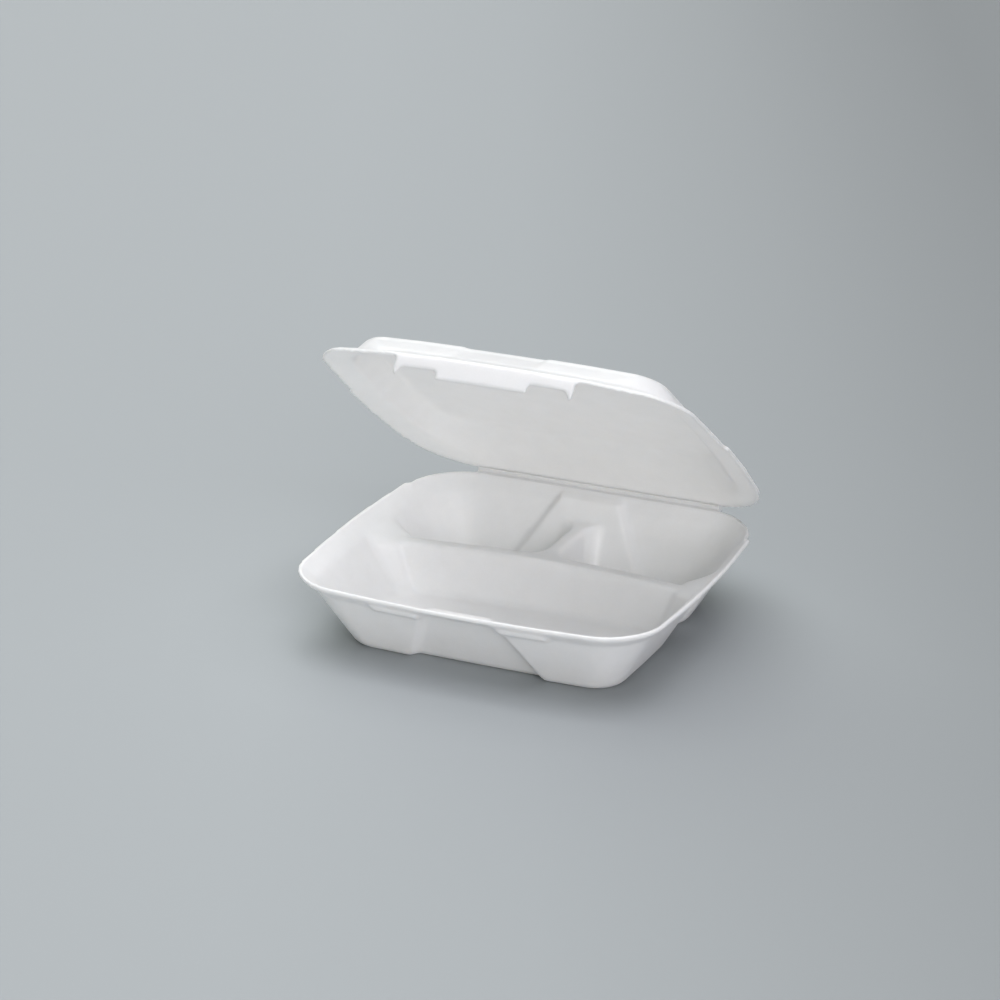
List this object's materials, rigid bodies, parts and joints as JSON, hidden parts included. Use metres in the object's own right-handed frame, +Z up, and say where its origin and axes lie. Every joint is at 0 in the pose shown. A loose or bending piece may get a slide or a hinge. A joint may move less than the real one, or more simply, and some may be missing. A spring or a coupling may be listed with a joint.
{
  "type": "hinged three-compartment food container",
  "caption": "Shallow carry-out container of white foam sheet: a tray with a curved cross divider, a short rear divider and soft corners, and a domed lid half open on its rear crease.",
  "frame": {"origin": "on the table under the middle of the tray's foot, half way between its sides and its front and rear rim", "axes": "+X to the right seen from the front, +Y back towards the crease of the lid, +Z up"},
  "size_m": [0.2376, 0.2103, 0.179],
  "materials": {
    "foam": "white foam sheet with a fine-celled satin skin"
  },
  "bodies": {
    "tray": {"tray": "foam"},
    "lid": {"lid": "foam"}
  },
  "joints": [
    {"name": "lid_hinge", "type": "hinge", "parent": "tray", "child": "lid", "pos_m": [0, 0.106, 0.04615], "axis": [-1, 0, 0], "range_deg": [-38, 140]}
  ]
}
